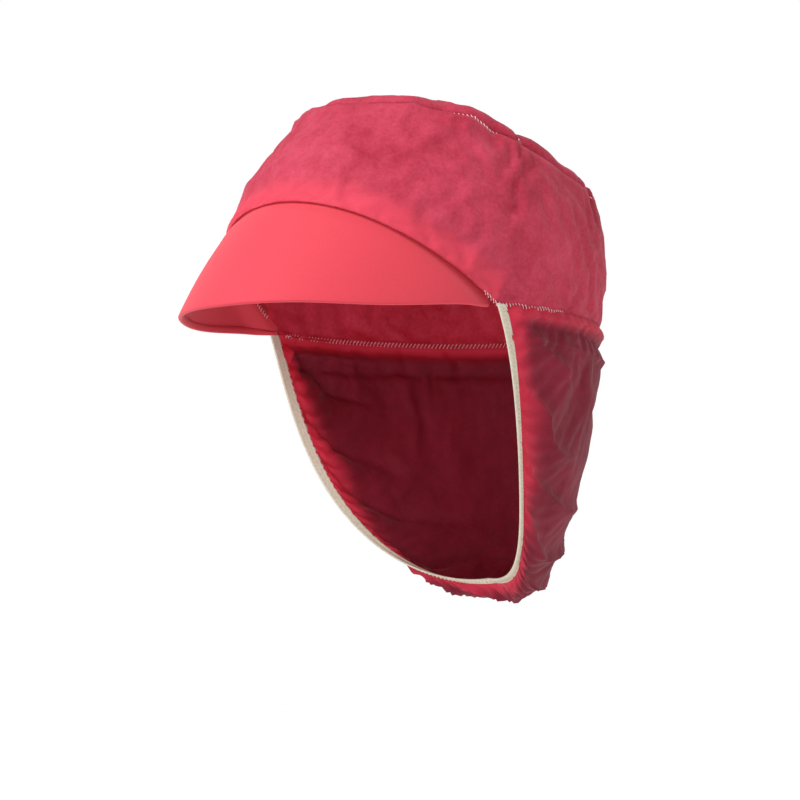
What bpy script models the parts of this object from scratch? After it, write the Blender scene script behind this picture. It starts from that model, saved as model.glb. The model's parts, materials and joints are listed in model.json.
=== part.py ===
"""Soft nonwoven work cap: a crown with a stiffened peak, and a snood that an elastic gathers round the nape.

Metres, +Z up. The face looks along -Y and the wearer's left side is at +X. The origin is the centre of
the head opening, in the plane of the rim. Angles round the head start at the centre front and turn
towards +X. Every surface function gives the outer face of the cloth, and the cloth lies inside it.
"""

import math

import bmesh
import bpy
from mathutils import Vector

# Head opening, in the plane of the rim
RIM_HALF_WIDTH = 0.0875
RIM_BACK_REACH = 0.1100
WALL_FRONT_REACH = 0.1170  # where the front of the wall would meet the rim's plane, if the peak didn't cut it off

# Top panel: an oval that is level over the forehead and falls towards the back
TOP_HALF_WIDTH = 0.0700
TOP_HALF_LENGTH = 0.0870
TOP_SETBACK = 0.0260
TOP_FRONT_HEIGHT = 0.1110
TOP_BACK_HEIGHT = 0.0740
TOP_FALL_ENDS = 0.70  # behind the top's centre, as a share of its half length
TOP_DOME = 0.0135
FRONT_BULGE = 0.0150
BACK_BULGE = 0.0020

# Peak
TEMPLE_SETBACK = 0.0280  # from the rim's centre forward to the corners where the peak ends
FOREHEAD_RISE = 0.0520  # height of the peak's seam above the rim, at the centre front
PEAK_REACH = 0.1180  # from the line between the temples forward to the tip
PEAK_DROP = 0.0040  # of the tip below the rim
PEAK_ARCH = 0.0015
PEAK_CLOTH = 0.0005
PEAK_BOARD = 0.0007
BOARD_INSET = 0.0040
BOARD_ENDS = 0.93  # how near the board comes to the peak's two ends, as a share of their angle
SMALLEST_PEAK = 0.0050  # width at which the peak's two ends are cut square

# Forehead band, sewn into the peak's seam behind the crown
BAND_HEIGHT = 0.0200
BAND_GAP = 0.0007

# Snood
NAPE_SETBACK = 0.0560
NAPE_DEPTH = 0.1340
# Three points that draw the elastic's curve round the ear, as (share of the rim's half width to the side,
# distance back, share of the nape's depth down)
ELASTIC_CONTROLS = ((0.995, -0.0080, 0.336), (0.870, -0.0070, 0.828), (0.503, 0.0450, 1.037))
ELASTIC_TURN_IN = 0.6  # how far the elastic's face turns inwards beside the ear, and down at the nape
ELASTIC_TURN_DOWN = 0.3
SNOOD_FALL = 0.55  # how far the cloth hangs straight down, as a share of the seam's distance from the hem
SNOOD_FULLNESS = 0.36
SNOOD_SAG = 0.0300
SNOOD_ENDS = 0.98  # how near the cloth comes to the two temples, as a share of the elastic's half length

# Cloth, elastic and thread
CLOTH = 0.0006
ELASTIC_WIDTH = 0.0060
ELASTIC_THICKNESS = 0.0008
THREAD_RADIUS = 0.0004
GAP = 0.0003  # left between pieces that are sewn face to face
SEAM_MARGIN = 0.06  # the back seam's stitches stop this share of the wall's height short of each edge
HEM_STITCHING = 0.75  # where the stitches lie on the elastic, as a share of its width
HEM_STITCHING_ENDS = 0.96

RINGS_AROUND = 64
TEMPLE_ANGLE = math.acos(TEMPLE_SETBACK / WALL_FRONT_REACH)


def lerp(a, b, share):
    return a + (b - a) * share


def bezier(points, t):
    while len(points) > 1:
        points = [a.lerp(b, t) for a, b in zip(points, points[1:])]
    return points[0]


def oval(half_width, half_length, angle):
    """A point on an oval round the origin, in plan."""
    return Vector((half_width * math.sin(angle), -half_length * math.cos(angle), 0))


def rim_reach(angle):
    return WALL_FRONT_REACH if math.cos(angle) > 0 else RIM_BACK_REACH


def outward(angle):
    """The rim's outward normal."""
    return Vector((math.sin(angle) / RIM_HALF_WIDTH, -math.cos(angle) / rim_reach(angle), 0)).normalized()


def spread(start, end, count):
    return [lerp(start, end, i / (count - 1)) for i in range(count)]


# Crown


def top_height(back_share):
    """Height of the top panel's edge. back_share runs from -1 at the front to 1 at the back."""
    fall = min(1.0, max(0.0, (back_share + 1) / (TOP_FALL_ENDS + 1)))
    return lerp(TOP_FRONT_HEIGHT, TOP_BACK_HEIGHT, (1 - math.cos(math.pi * fall)) / 2)


def top_point(angle, radius_share=1.0):
    """A point on the top panel, from its centre at 0 to its seam at 1."""
    point = oval(TOP_HALF_WIDTH, TOP_HALF_LENGTH, angle) * radius_share
    point.z = top_height(point.y / TOP_HALF_LENGTH) + TOP_DOME * (1 - radius_share**2)
    point.y += TOP_SETBACK
    return point


def wall_point(angle, share):
    """A point on the crown's wall, from the rim at 0 to the top seam at 1."""
    bulge = lerp(BACK_BULGE, FRONT_BULGE, (1 + math.cos(angle)) / 2) * 4 * share * (1 - share)
    return rim_point(angle).lerp(top_point(angle), share) + outward(angle) * bulge


def rim_point(angle):
    return oval(RIM_HALF_WIDTH, rim_reach(angle), angle)


def peak_seam_share(angle):
    """How far up the wall the peak's seam lies: in a plane through both temple corners that rises to the front."""
    front = wall_point(0, FOREHEAD_RISE / TOP_FRONT_HEIGHT)
    slope = front.z / (-TEMPLE_SETBACK - front.y)
    low, high = 0.0, 1.0
    for _ in range(40):
        middle = (low + high) / 2
        point = wall_point(angle, middle)
        if point.z < slope * (-TEMPLE_SETBACK - point.y):
            low = middle
        else:
            high = middle
    return low


def seam_point(angle):
    return wall_point(angle, peak_seam_share(angle))


# Peak


def peak_edge_point(angle):
    """The peak's outer edge, opposite seam_point(angle)."""
    turn = angle / TEMPLE_ANGLE * math.pi / 2
    corner = rim_point(TEMPLE_ANGLE)
    drop = PEAK_DROP * math.cos(turn) ** 2
    return Vector((corner.x * math.sin(turn), corner.y - PEAK_REACH * math.cos(turn), -drop))


def peak_width(angle):
    return (peak_edge_point(angle) - seam_point(angle)).length


def peak_end_angle():
    """The angle at which the peak has narrowed to the width of its square ends."""
    low, high = 0.0, TEMPLE_ANGLE
    for _ in range(40):
        middle = (low + high) / 2
        if peak_width(middle) > SMALLEST_PEAK:
            low = middle
        else:
            high = middle
    return low


def peak_point(angle, share):
    """A point on the peak's upper face, from the seam at 0 to the outer edge at 1."""
    arch = PEAK_ARCH * 4 * share * (1 - share) * peak_width(angle) / peak_width(0)
    return seam_point(angle).lerp(peak_edge_point(angle), share) + outward(angle) * arch


# Snood


def elastic_front(t):
    """The elastic's front edge, from the left temple at 0 to the middle of the nape at 1."""
    corner = rim_point(TEMPLE_ANGLE) - Vector((0, 0, GAP))
    nape = Vector((0, NAPE_SETBACK, -NAPE_DEPTH))
    controls = [Vector((RIM_HALF_WIDTH * x, y, -NAPE_DEPTH * z)) for x, y, z in ELASTIC_CONTROLS]
    return bezier([corner, *controls, nape], t)


def elastic_across(t):
    """The direction across the elastic, from its front edge towards the gathered cloth."""
    return Vector((-ELASTIC_TURN_IN * math.sin(math.pi * t), 1.0, -ELASTIC_TURN_DOWN * t)).normalized()


def mirrored(point, side):
    return Vector((side * point.x, point.y, point.z))


def elastic_point(u, across):
    """A point on the elastic. u runs from -1 at the right temple to 1 at the left one."""
    t = 1 - abs(u)
    side = 1 if u >= 0 else -1
    return mirrored(elastic_front(t) + elastic_across(t) * across, side)


def snood_point(u, share):
    """A point on the snood, from its seam with the crown at 0 to the gathered hem at 1."""
    first_angle = math.acos((TEMPLE_SETBACK - ELASTIC_WIDTH - GAP) / WALL_FRONT_REACH)
    seam = rim_point(lerp(math.pi, first_angle, abs(u))) - Vector((0, 0, GAP))
    t = 1 - abs(u)
    across = elastic_across(t)
    hem = elastic_front(t) + across * (ELASTIC_WIDTH + GAP)
    depth = (seam - hem).length
    hang = seam + Vector((0, 0, -SNOOD_FALL * depth))
    gather = hem + across * SNOOD_FULLNESS * depth - Vector((0, 0, SNOOD_SAG * t))
    return mirrored(bezier([seam, hang, gather, hem], share), 1 if u >= 0 else -1)


# Mesh making


def material(name, colour, roughness):
    made = bpy.data.materials.new(name)
    made.use_nodes = True
    shader = made.node_tree.nodes["Principled BSDF"]
    shader.inputs["Base Color"].default_value = (*colour, 1)
    shader.inputs["Roughness"].default_value = roughness
    shader.inputs["Metallic"].default_value = 0.0
    return made


def placed(name, mesh, finish, parent):
    """Makes the object that holds mesh, on the joint or frame that parent stands for."""
    made = bpy.data.objects.new(name, mesh)
    bpy.context.scene.collection.objects.link(made)
    mesh.materials.clear()
    mesh.materials.append(finish)
    made.parent = parent
    made.matrix_parent_inverse = parent.matrix_world.inverted()
    return made


def sheet(name, rows, thickness, finish, parent, closed=False, inset=0.0):
    """A sheet through rows of points, made solid inwards from its outer face, inset below the rows' surface."""
    work = bmesh.new()
    grid = [[work.verts.new(point) for point in row] for row in rows]
    columns = len(rows[0])
    for lower, upper in zip(grid, grid[1:]):
        for i in range(columns if closed else columns - 1):
            after = (i + 1) % columns
            work.faces.new((lower[i], lower[after], upper[after], upper[i]))
    work.normal_update()
    if inset:
        shifts = [vertex.normal * inset for vertex in work.verts]
        for vertex, shift in zip(work.verts, shifts):
            vertex.co -= shift
    mesh = bpy.data.meshes.new(name)
    work.to_mesh(mesh)
    work.free()
    mesh.shade_smooth()
    made = placed(name, mesh, finish, parent)
    solid = made.modifiers.new("cloth", "SOLIDIFY")
    solid.thickness = thickness
    solid.offset = -1
    return made


def thread(name, points, radius, finish, parent, closed=False):
    """A row of stitches, as one round bead along a seam."""
    curve = bpy.data.curves.new(name, "CURVE")
    curve.dimensions = "3D"
    curve.bevel_depth = radius
    curve.bevel_resolution = 0
    curve.use_fill_caps = True
    spline = curve.splines.new("POLY")
    spline.points.add(len(points) - 1)
    for target, point in zip(spline.points, points):
        target.co = (*point, 1)
    spline.use_cyclic_u = closed
    return placed(name, curve, finish, parent)


def joint_frame(name, location):
    empty = bpy.data.objects.new(name, None)
    bpy.context.scene.collection.objects.link(empty)
    empty.location = location
    bpy.context.view_layer.update()
    return empty


# Sub-parts


def make_crown_wall(finish, parent):
    angles = [2 * math.pi * i / RINGS_AROUND for i in range(RINGS_AROUND)]
    rows = []
    for level in spread(0.0, 1.0, 9):
        rows.append([wall_point(a, lerp(lower_share(a), 1.0, level)) for a in angles])
    sheet("crown_wall", rows, CLOTH, finish, parent, closed=True)


def lower_share(angle):
    """Where the wall's lower edge lies: on the peak's seam in front, on the rim elsewhere."""
    return peak_seam_share(min(angle, 2 * math.pi - angle))


def make_crown_top(finish, parent):
    angles = [2 * math.pi * i / RINGS_AROUND for i in range(RINGS_AROUND)]
    lift = Vector((0, 0, CLOTH + GAP))
    work = bmesh.new()
    middle = work.verts.new(top_point(0, 0) + lift)
    inner = None
    for share in spread(0.2, 1.0, 5):
        ring = [work.verts.new(top_point(a, share) + lift) for a in angles]
        for i, vertex in enumerate(ring):
            after = (i + 1) % len(ring)
            if inner:
                work.faces.new((inner[i], vertex, ring[after], inner[after]))
            else:
                work.faces.new((middle, vertex, ring[after]))
        inner = ring
    mesh = bpy.data.meshes.new("crown_top")
    work.to_mesh(mesh)
    work.free()
    mesh.shade_smooth()
    made = placed("crown_top", mesh, finish, parent)
    solid = made.modifiers.new("cloth", "SOLIDIFY")
    solid.thickness = CLOTH
    solid.offset = -1


def make_forehead_band(finish, parent):
    """The strip behind the wall, from the peak's seam up."""
    end = peak_end_angle()
    angles = spread(-end, end, 33)
    rows = []
    for height in spread(0.0, BAND_HEIGHT, 3):
        rows.append([band_point(a, height) for a in angles])
    sheet("forehead_band", rows, CLOTH, finish, parent, inset=CLOTH + BAND_GAP)


def band_point(angle, height):
    foot = peak_seam_share(angle)
    wall_height = (top_point(angle) - rim_point(angle)).length
    return wall_point(angle, foot + height / wall_height)


def make_peak_layer(name, first, last, angles, inset, thickness, finish, parent):
    """One layer of the peak, between the distances first from the seam and last from the outer edge."""
    rows = []
    for level in spread(0.0, 1.0, 5):
        row = []
        for angle in angles:
            width = peak_width(angle)
            row.append(peak_point(angle, lerp(first / width, 1 - last / width, level)))
        rows.append(row)
    rows.reverse()
    sheet(name, rows, thickness, finish, parent, inset=inset)


def make_peak(cover, board, parent):
    end = peak_end_angle()
    board_end = end * BOARD_ENDS
    angles = spread(-end, end, 33)
    board_angles = spread(-board_end, board_end, 33)
    board_depth = PEAK_CLOTH + GAP
    lining_depth = board_depth + PEAK_BOARD + GAP
    make_peak_layer("peak_cover", GAP, 0.0, angles, 0.0, PEAK_CLOTH, cover, parent)
    make_peak_layer(
        "peak_board", BOARD_INSET, BOARD_INSET, board_angles, board_depth, PEAK_BOARD, board, parent
    )
    make_peak_layer("peak_lining", GAP, 0.0, angles, lining_depth, PEAK_CLOTH, cover, parent)


def make_snood(finish, parent):
    places = spread(SNOOD_ENDS, -SNOOD_ENDS, 49)
    rows = [[snood_point(u, share) for u in places] for share in spread(1.0, 0.0, 13)]
    sheet("snood", rows, CLOTH, finish, parent)


def make_elastic(finish, parent):
    places = spread(1.0, -1.0, 61)
    rows = [[elastic_point(u, across) for u in places] for across in (0.0, ELASTIC_WIDTH)]
    sheet("snood_elastic", rows, ELASTIC_THICKNESS, finish, parent)


def stack_depth():
    """Thickness of the whole peak: two covers and the board between them."""
    return 2 * PEAK_CLOTH + PEAK_BOARD + 2 * GAP


def make_threads(finish, crown, snood):
    clear = THREAD_RADIUS + GAP
    around = [2 * math.pi * i / RINGS_AROUND for i in range(RINGS_AROUND)]
    top_seam = [top_point(a) + outward(a) * clear + Vector((0, 0, clear / 2)) for a in around]
    thread("crown_top_stitching", top_seam, THREAD_RADIUS, finish, crown, closed=True)

    raised = Vector((0, 0, clear))
    back_angles = spread(TEMPLE_ANGLE, 2 * math.pi - TEMPLE_ANGLE, 49)
    rim_seam = [rim_point(a) + outward(a) * clear + raised for a in back_angles]
    thread("snood_seam_stitching", rim_seam, THREAD_RADIUS, finish, crown)

    end = peak_end_angle()
    inside = stack_depth() + clear
    peak_seam = [seam_point(a) - outward(a) * inside for a in spread(-end, end, 33)]
    thread("peak_seam_stitching", peak_seam, THREAD_RADIUS, finish, crown)

    back = [wall_point(math.pi, share) for share in spread(SEAM_MARGIN, 1 - SEAM_MARGIN, 7)]
    back_seam = [point - outward(math.pi) * (CLOTH + clear) for point in back]
    thread("crown_back_stitching", back_seam, THREAD_RADIUS, finish, crown)

    hem = []
    for u in spread(HEM_STITCHING_ENDS, -HEM_STITCHING_ENDS, 61):
        along = elastic_point(u + 0.01, 0.0) - elastic_point(u - 0.01, 0.0)
        across = elastic_point(u, ELASTIC_WIDTH) - elastic_point(u, 0.0)
        face = across.cross(along).normalized()
        hem.append(elastic_point(u, ELASTIC_WIDTH * HEM_STITCHING) + face * (clear + GAP))
    thread("elastic_stitching", hem, THREAD_RADIUS, finish, snood)


def main():
    for old in list(bpy.data.objects):
        bpy.data.objects.remove(old)
    shell_cloth = material("crown_cloth", (0.78, 0.10, 0.16), 0.85)
    snood_cloth = material("snood_cloth", (0.50, 0.05, 0.10), 0.85)
    peak_cloth = material("peak_cloth", (0.90, 0.09, 0.14), 0.80)
    board = material("peak_board", (0.75, 0.72, 0.66), 0.60)
    elastic = material("elastic", (0.84, 0.81, 0.73), 0.90)
    white_thread = material("thread", (0.90, 0.80, 0.80), 0.70)

    crown = joint_frame("crown_frame", (0, 0, 0))
    front = seam_point(0)
    peak = joint_frame("peak_hinge", front)
    snood = joint_frame("snood_hinge", rim_point(math.pi))

    make_crown_wall(shell_cloth, crown)
    make_crown_top(shell_cloth, crown)
    make_forehead_band(peak_cloth, crown)
    make_peak(peak_cloth, board, peak)
    make_snood(snood_cloth, snood)
    make_elastic(elastic, snood)
    make_threads(white_thread, crown, snood)


main()
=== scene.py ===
"""Looks of the snood cap: nonwoven cloth settled by simulation, a smooth peak, elastic and overlock stitches.

Metres, +Z up. The face looks along -Y and the wearer's left side is at +X. Angles round the head start at the
centre front and turn towards +X. Surface functions give the outer face of the cloth, as the CAD does.
"""

import json
import math

import bpy
import numpy as np
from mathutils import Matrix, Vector, noise


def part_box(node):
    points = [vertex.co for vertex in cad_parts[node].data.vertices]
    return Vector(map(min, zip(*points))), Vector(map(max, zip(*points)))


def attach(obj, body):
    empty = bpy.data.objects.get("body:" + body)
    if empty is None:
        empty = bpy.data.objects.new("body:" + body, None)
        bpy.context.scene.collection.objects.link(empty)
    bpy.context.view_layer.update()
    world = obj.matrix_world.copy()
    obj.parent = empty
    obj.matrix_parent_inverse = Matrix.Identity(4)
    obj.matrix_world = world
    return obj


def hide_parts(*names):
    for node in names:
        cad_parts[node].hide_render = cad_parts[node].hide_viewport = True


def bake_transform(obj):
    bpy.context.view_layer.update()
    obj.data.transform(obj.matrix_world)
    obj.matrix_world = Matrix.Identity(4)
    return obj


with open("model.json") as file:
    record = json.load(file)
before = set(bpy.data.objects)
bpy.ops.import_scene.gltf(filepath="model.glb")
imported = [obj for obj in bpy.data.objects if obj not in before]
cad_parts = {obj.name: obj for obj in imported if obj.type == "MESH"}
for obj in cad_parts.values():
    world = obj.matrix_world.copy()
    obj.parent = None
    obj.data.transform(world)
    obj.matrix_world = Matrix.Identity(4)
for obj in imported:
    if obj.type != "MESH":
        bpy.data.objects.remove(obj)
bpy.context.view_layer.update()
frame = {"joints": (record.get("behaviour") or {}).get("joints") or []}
JOINTS = {joint["name"]: joint for joint in frame["joints"]}

# Head opening and top, as in the CAD
RIM_HALF_WIDTH = 0.0875
RIM_BACK_REACH = JOINTS["snood_swing"]["pos_m"][1]
WALL_FRONT_REACH = 0.1170
TOP_LOW, TOP_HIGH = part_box("crown_top")
TOP_HALF_WIDTH = (TOP_HIGH.x - TOP_LOW.x) / 2
TOP_HALF_LENGTH = (TOP_HIGH.y - TOP_LOW.y) / 2
TOP_SETBACK = (TOP_HIGH.y + TOP_LOW.y) / 2
TOP_FRONT_HEIGHT = 0.1110
TOP_BACK_HEIGHT = 0.0740
TOP_FALL_ENDS = 0.70
TOP_DOME = 0.0135
SEAM_BELOW = 0.0045  # the top panel turns down over the crown's corner to its seam, about this far below
FRONT_BULGE = 0.0150
BACK_BULGE = 0.0020

# The foot of the crown's wall curls in, hardly over the peak and more where the snood is sewn on
FOOT_DIP_PEAK = 0.0003
FOOT_DIP_SNOOD = 0.0008
FOOT_DIP_REACH = 0.0020

# Gathers that cross the top seam, and creases over the rest of the crown
GATHER_DEPTH = 0.0032
GATHER_FADE = 0.0140
GATHER_SIZE = 0.0120
FINE_GATHER_SIZE = 0.0055
CREASE_DEPTH = 0.0012
CREASE_SIZE = 0.026
FINE_CREASE_DEPTH = 0.0006
FINE_CREASE_SIZE = 0.010
CROWN_FREE_ABOVE = 0.012  # the foot, where the crown's folds are at full depth
PATCH_SIZE = 0.05  # of the areas where folds are deeper or shallower
TOP_SEAM_PULL = 0.0012
TOP_SEAM_PULL_REACH = 0.0018

# Peak
TEMPLE_SETBACK = 0.0280
TEMPLE_ANGLE = math.acos(TEMPLE_SETBACK / WALL_FRONT_REACH)
FOREHEAD_RISE = JOINTS["peak_flex"]["pos_m"][2]
PEAK_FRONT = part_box("peak_cover")[0].y
PEAK_DROP = 0.0040
PEAK_BOW = 0.0035  # how far the outer edge sags beside the temples
PEAK_BOW_SPREAD = 0.42
PEAK_ARCH = 0.0015
PEAK_CLOTH = 0.0004
PEAK_BOARD = 0.0008
PEAK_ENDS = 0.992  # of the temple's angle, where the peak's pieces end
BOARD_ENDS = 0.92  # of the peak, where its board ends
PEAK_HEM = 0.0035  # of the upper cloth, turned under the board
PEAK_HEM_FOLD = 0.0015  # where the turned cloth lies flat again
PEAK_SLACK = 0.0003  # between the layers at the peak's edge, and over the under cloth
BOARD_GAP = 0.0001
BOARD_BELOW_SEAM = 0.0040
BOARD_IN_EDGE = 0.0015
LINING_IN_EDGE = 0.0025
BAND_HEIGHT = 0.0150
BAND_ENDS = 0.98
BAND_INSET = 0.0010

# The top of the peak lies in behind the foot of the wall, deeper and wider towards the temples
PEAK_DIP = 0.0023
PEAK_DIP_TEMPLES = 0.0025
PEAK_DIP_REACH = 0.0036
PEAK_DIP_REACH_TEMPLES = 0.0046
PEAK_TUCK = 0.0020  # how far its sewn edge stands up behind the wall
PEAK_TUCK_REACH = 0.0008
PEAK_SWELL = 0.0004
PEAK_SWELL_SIZE = 0.035

# Snood and elastic
NAPE_SETBACK = 0.0560
NAPE_DEPTH = 0.1340
# Curve points of the elastic: share of the rim's half width, distance back, and share of the nape's depth
ELASTIC_CONTROLS = ((0.995, -0.0080, 0.336), (0.870, -0.0070, 0.828), (0.503, 0.0450, 1.037))
ELASTIC_WIDTH = 0.0060
ELASTIC_THICKNESS = 0.0009
ELASTIC_TURN_IN = 0.6
ELASTIC_TURN_DOWN = 0.3
ELASTIC_LIFT = 0.0006  # of the elastic over the surface that the cloth's hem follows
ELASTIC_RIB = 0.00012
ELASTIC_RIB_PITCH = 0.0012
SNOOD_HEM = 0.85  # of the elastic's width, where the hem lies behind it
SNOOD_FALL = 0.55  # how far the cloth drops straight from its seam, of the distance to the hem
SNOOD_FULLNESS = 0.295  # how far it stands back from the elastic, of the same
NAPE_FLATTENING = 0.22  # of that fullness, lost by the middle of the nape
SNOOD_SAG = 0.0255
SNOOD_END = 0.999  # the last column of cloth, of the way to each temple
CLOTH = 0.00032

# Gathers along the elastic, long swags that leave it, tucks below the snood's seam, and slack between
HEM_GATHER_DEPTH = 0.0017
HEM_GATHER_PITCH = 0.0075
HEM_GATHER_FADE = 0.0140
HEM_GATHER_SLANT = 0.3
HEM_GATHER_START = 0.0015  # from the hem, which lies flat behind the elastic
HEM_GATHER_RISE = 0.006
SWAG_DEPTH = 0.0070
SWAG_PITCH = 0.034
SWAG_MIDDLE = 0.028
SWAG_SPREAD = 0.026
SWAG_SLANT = 1.5
ROLL_DEPTH, ROLL_PLACE = 0.0018, 0.0045
GROOVE_DEPTH, GROOVE_PLACE = 0.0026, 0.0095
SECOND_ROLL_DEPTH, SECOND_ROLL_PLACE = 0.0020, 0.0175
TUCK_SPREAD = 0.0022
SECOND_ROLL_SPREAD = 0.0020
SECOND_ROLL_WANDER = 0.003
TEMPLE_CALM = 0.03  # from the temples, where swags and tucks start
SLACK_DEPTH = 0.0016
SLACK_SIZE = 0.022
FINE_SLACK_DEPTH = 0.0008
FINE_SLACK_SIZE = 0.010
SNOOD_FREE_REACH = 0.006  # from the snood's sewn edges, where its slack is at full depth
SNOOD_SEAM_PULL = 0.0008
SNOOD_SEAM_PULL_REACH = 0.0020

# Flat coordinates, which place the bond points: metres for a radian round the head, across the peak, and from
# the elastic's middle to its end
FLAT_RADIUS = 0.1
FLAT_PEAK_WIDTH = 0.07
FLAT_ELASTIC_HALF = 0.18

# Cloth cells: COLUMNS of them round the crown, and rows at the shares in LEVELS of the wall's height
COLUMNS = 240
TOP_RINGS = COLUMNS // 8
LEVELS = np.concatenate([[0, 0.012, 0.028, 0.050], np.linspace(0.08, 1, 31)])
WALL_ROWS = len(LEVELS)
SEAM_ROW = WALL_ROWS - 3
SNOOD_COLUMNS = 220
SNOOD_ROWS = 60

STITCH_PITCH = 0.0022
STITCH_LENGTH = 0.0024
STITCH_SLANT = 0.0007
THREAD_RADIUS = 0.00024


# Surfaces


def smooth(x):
    x = np.clip(x, 0, 1)
    return x * x * (3 - 2 * x)


def unit(v):
    return v / np.maximum(np.linalg.norm(v, axis=-1, keepdims=True), 1e-12)


def bezier(points, t):
    t = np.asarray(t, float)[..., None]
    points = [np.asarray(p, float) for p in points]
    while len(points) > 1:
        points = [a + (b - a) * t for a, b in zip(points, points[1:])]
    return points[0]


def rim_reach(angle):
    return np.where(np.cos(angle) > 0, WALL_FRONT_REACH, RIM_BACK_REACH)


def rim_point(angle):
    angle = np.asarray(angle, float)
    return np.stack([RIM_HALF_WIDTH * np.sin(angle), -rim_reach(angle) * np.cos(angle), 0 * angle], -1)


def outward(angle):
    angle = np.asarray(angle, float)
    return unit(np.stack([np.sin(angle) / RIM_HALF_WIDTH, -np.cos(angle) / rim_reach(angle), 0 * angle], -1))


def top_height(back_share):
    fall = np.clip((back_share + 1) / (TOP_FALL_ENDS + 1), 0, 1)
    return TOP_FRONT_HEIGHT + (TOP_BACK_HEIGHT - TOP_FRONT_HEIGHT) * (1 - np.cos(np.pi * fall)) / 2


def top_point(angle, radius_share=1.0):
    angle = np.asarray(angle, float)
    x = TOP_HALF_WIDTH * np.sin(angle) * radius_share
    y = -TOP_HALF_LENGTH * np.cos(angle) * radius_share
    z = top_height(y / TOP_HALF_LENGTH) + TOP_DOME * (1 - np.asarray(radius_share) ** 2)
    return np.stack([x, y + TOP_SETBACK, z], -1)


def wall_point(angle, share):
    """A point of the crown's wall, from the rim at share 0 to the top's corner at 1."""
    share = np.asarray(share, float)
    bulge = (BACK_BULGE + (FRONT_BULGE - BACK_BULGE) * (1 + np.cos(angle)) / 2) * 4 * share * (1 - share)
    rim, top = rim_point(angle), top_point(angle)
    return rim + (top - rim) * share[..., None] + outward(angle) * bulge[..., None]


def peak_seam_share(angle):
    """How far up the wall the peak's seam lies, in a plane through both temples that rises to the front."""
    angle = np.asarray(angle, float)
    front = wall_point(0.0, FOREHEAD_RISE / TOP_FRONT_HEIGHT)
    slope = front[2] / (-TEMPLE_SETBACK - front[1])
    low, high = np.zeros_like(angle), np.ones_like(angle)
    for _ in range(40):
        middle = (low + high) / 2
        point = wall_point(angle, middle)
        below = point[..., 2] < slope * (-TEMPLE_SETBACK - point[..., 1])
        low, high = np.where(below, middle, low), np.where(below, high, middle)
    return low


def seam_point(angle):
    return wall_point(angle, peak_seam_share(angle))


def peak_edge_point(angle):
    turn = np.asarray(angle, float) / TEMPLE_ANGLE * np.pi / 2
    corner = rim_point(TEMPLE_ANGLE)
    reach = -TEMPLE_SETBACK - PEAK_FRONT
    x = corner[0] * np.sin(turn)
    bow = PEAK_BOW * np.exp(-(((np.abs(turn) - 1.0) / PEAK_BOW_SPREAD) ** 2))
    return np.stack([x, corner[1] - reach * np.cos(turn), -PEAK_DROP * np.cos(turn) ** 2 - bow], -1)


def elastic_front(t):
    """The elastic's front edge, from the left temple at 0 to the middle of the nape at 1."""
    corner = rim_point(TEMPLE_ANGLE)
    controls = [(RIM_HALF_WIDTH * x, y, -NAPE_DEPTH * z) for x, y, z in ELASTIC_CONTROLS]
    return bezier([corner, *controls, (0, NAPE_SETBACK, -NAPE_DEPTH)], t)


def elastic_across(t):
    """The direction from the elastic's front edge to its back edge."""
    t = np.asarray(t, float)
    return unit(np.stack([-ELASTIC_TURN_IN * np.sin(np.pi * t), 1 + 0 * t, -ELASTIC_TURN_DOWN * t], -1))


def mirrored(points, u):
    """points of the left half, put on the side that the sign of u says."""
    points = points.copy()
    points[..., 0] *= np.where(np.asarray(u) >= 0, 1, -1)
    return points


def elastic_point(u, across):
    """u runs from 1 at the left temple to -1 at the right one, and across from the front edge, in metres."""
    t = 1 - np.abs(u)
    return mirrored(elastic_front(t) + elastic_across(t) * across, u)


def snood_point(u, share):
    """From the seam with the crown at share 0 to the gathered hem at 1, with u as for the elastic."""
    t = 1 - np.abs(u)
    seam = rim_point(np.pi + (TEMPLE_ANGLE - np.pi) * np.abs(u))
    across = elastic_across(t)
    hem = elastic_front(t) + across * ELASTIC_WIDTH * SNOOD_HEM
    depth = np.linalg.norm(seam - hem, axis=-1, keepdims=True)
    hang = seam + np.array([0, 0, -SNOOD_FALL]) * depth
    fullness = SNOOD_FULLNESS * (1 - NAPE_FLATTENING * t[..., None] ** 2)
    gather = hem + across * fullness * depth - np.array([0, 0, SNOOD_SAG]) * t[..., None]
    return mirrored(bezier([seam, hang, gather, hem], share), u)


# Mesh making


def ripple(points, size, seed):
    """Smooth noise from -1 to 1 at each point, with features about size metres wide."""
    shift = Vector((seed * 1.7, seed * 2.3, seed * 3.1))
    flat = points.reshape(-1, 3)
    values = [noise.noise(Vector(p) / size + shift) for p in flat]
    return np.array(values).reshape(points.shape[:-1])


def patches(points, seed):
    """Shares from 0 to 1.2 that make folds deeper in some areas than in others."""
    return 0.6 + 0.6 * ripple(points, PATCH_SIZE, seed)


def mesh_object(name, points, faces, uvs=None):
    """points is (n, 3), and uvs holds one pair for each point, in metres on the flat cloth."""
    mesh = bpy.data.meshes.new(name)
    mesh.from_pydata([tuple(p) for p in points], [], [tuple(f) for f in faces])
    mesh.shade_smooth()
    if uvs is not None:
        layer = mesh.uv_layers.new(name="cloth")
        corner_points = np.empty(len(mesh.loops), np.int32)
        mesh.loops.foreach_get("vertex_index", corner_points)
        layer.data.foreach_set("uv", np.asarray(uvs, np.float32)[corner_points].ravel())
    made = bpy.data.objects.new(name, mesh)
    bpy.context.scene.collection.objects.link(made)
    return made


def grid_faces(rows, columns, closed=False):
    faces = []
    for r in range(rows - 1):
        low, high = r * columns, (r + 1) * columns
        for c in range(columns if closed else columns - 1):
            after = (c + 1) % columns
            faces.append((low + c, low + after, high + after, high + c))
    return faces


def points_of(obj):
    co = np.empty(len(obj.data.vertices) * 3)
    obj.data.vertices.foreach_get("co", co)
    return co.reshape(-1, 3)


def set_points(obj, points):
    obj.data.vertices.foreach_set("co", np.asarray(points, float).ravel())
    obj.data.update()


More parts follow.
